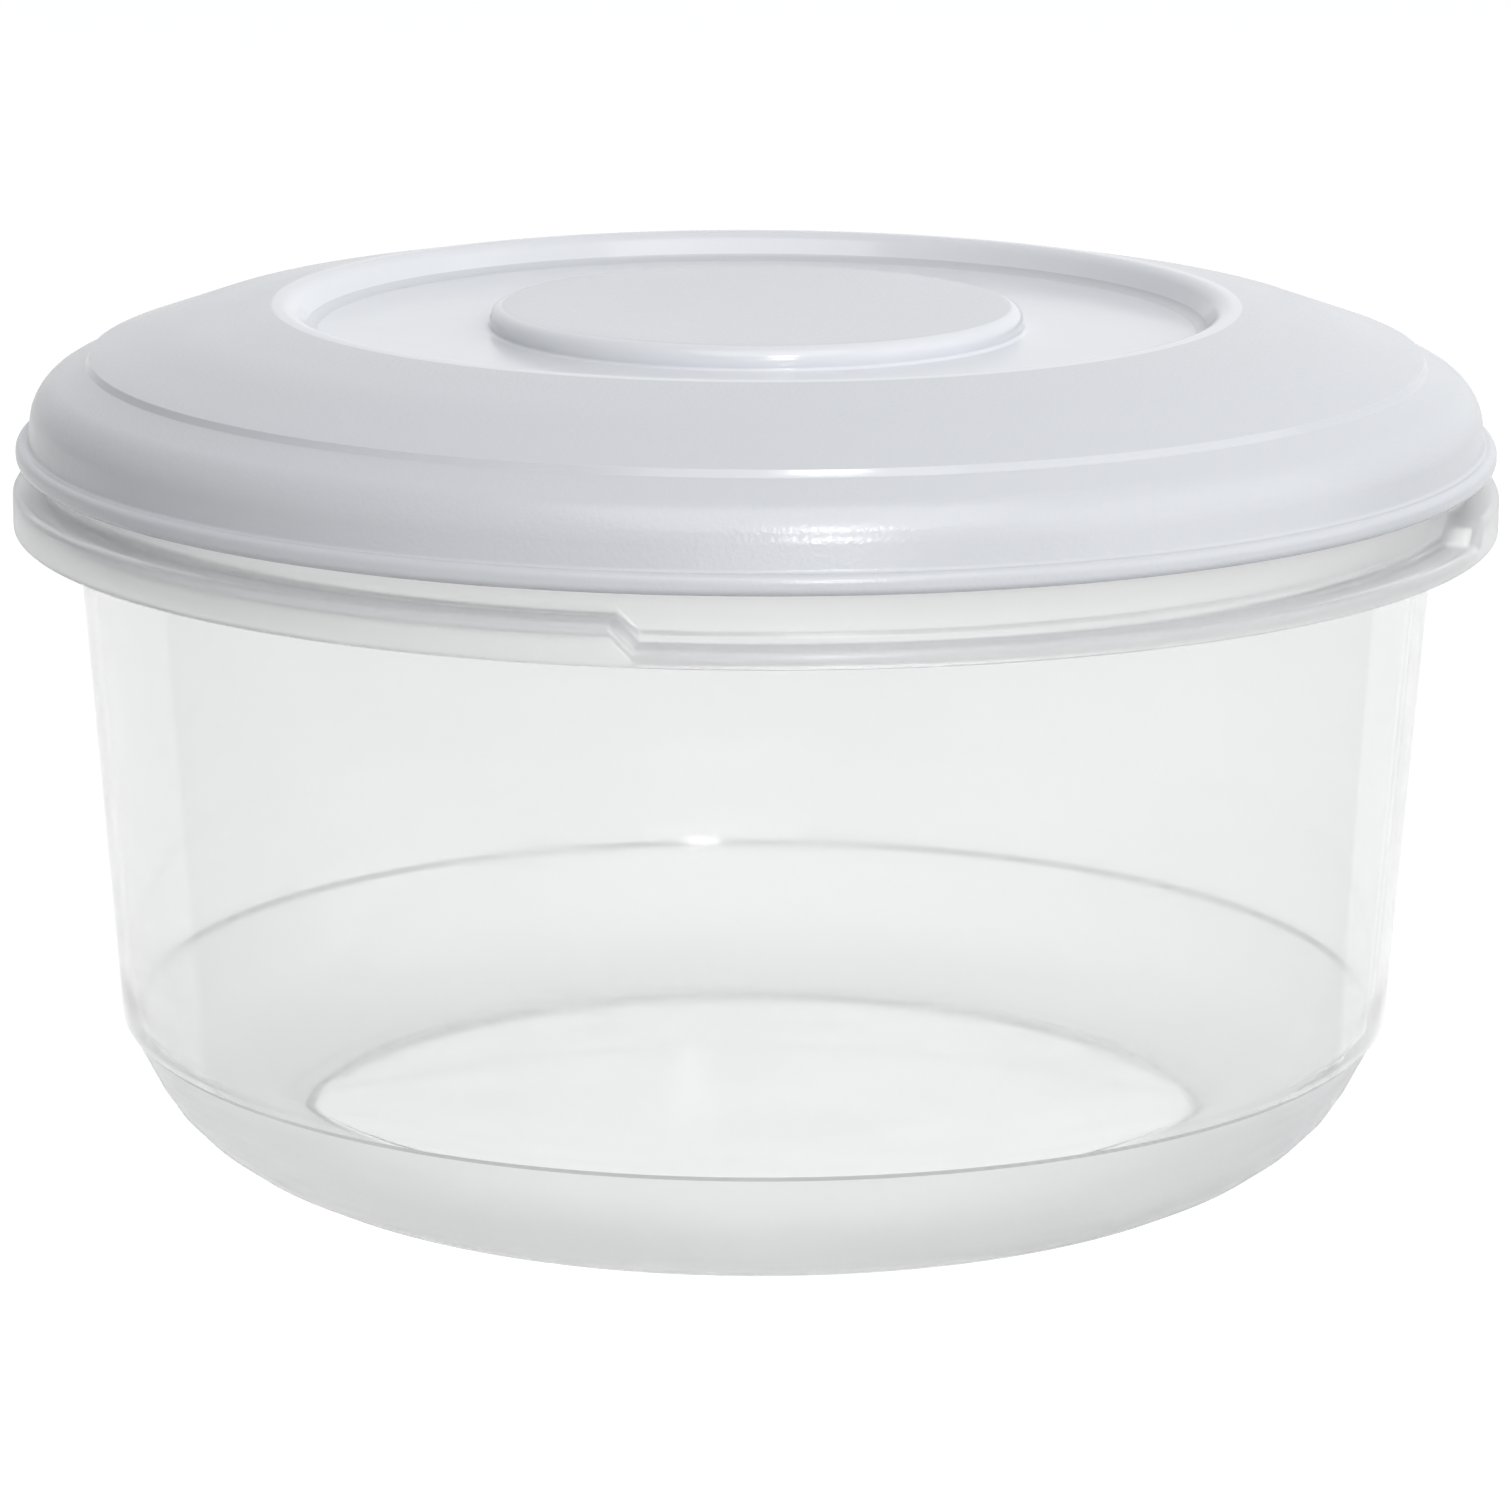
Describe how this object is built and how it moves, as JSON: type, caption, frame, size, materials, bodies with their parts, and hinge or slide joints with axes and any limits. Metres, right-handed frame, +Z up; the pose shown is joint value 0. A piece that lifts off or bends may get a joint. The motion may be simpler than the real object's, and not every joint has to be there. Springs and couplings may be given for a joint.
{
  "type": "food storage box",
  "caption": "Round food storage box: clear tapered tub with a rounded frosted base and a stepped rim, closed by a domed push-on lid with a grip disc in a sunken well.",
  "frame": {"origin": "centre of the foot ring, on the plane the tub stands on", "axes": "+Z up along the axis of the round tub, -Y towards the middle of one low part of the rim, +X to the right of it"},
  "size_m": [0.24, 0.24, 0.1394],
  "materials": {
    "clear_plastic": "clear polypropylene, glossy wall and finely frosted bowl",
    "lid_plastic": "satin, cool light grey"
  },
  "bodies": {
    "tub": {"tub": "clear_plastic"},
    "lid": {"lid": "lid_plastic"}
  },
  "joints": [
    {"name": "lid_lift", "type": "slide", "parent": "tub", "child": "lid", "axis": [0, 0, 1], "range_m": [0, 0.16]}
  ]
}
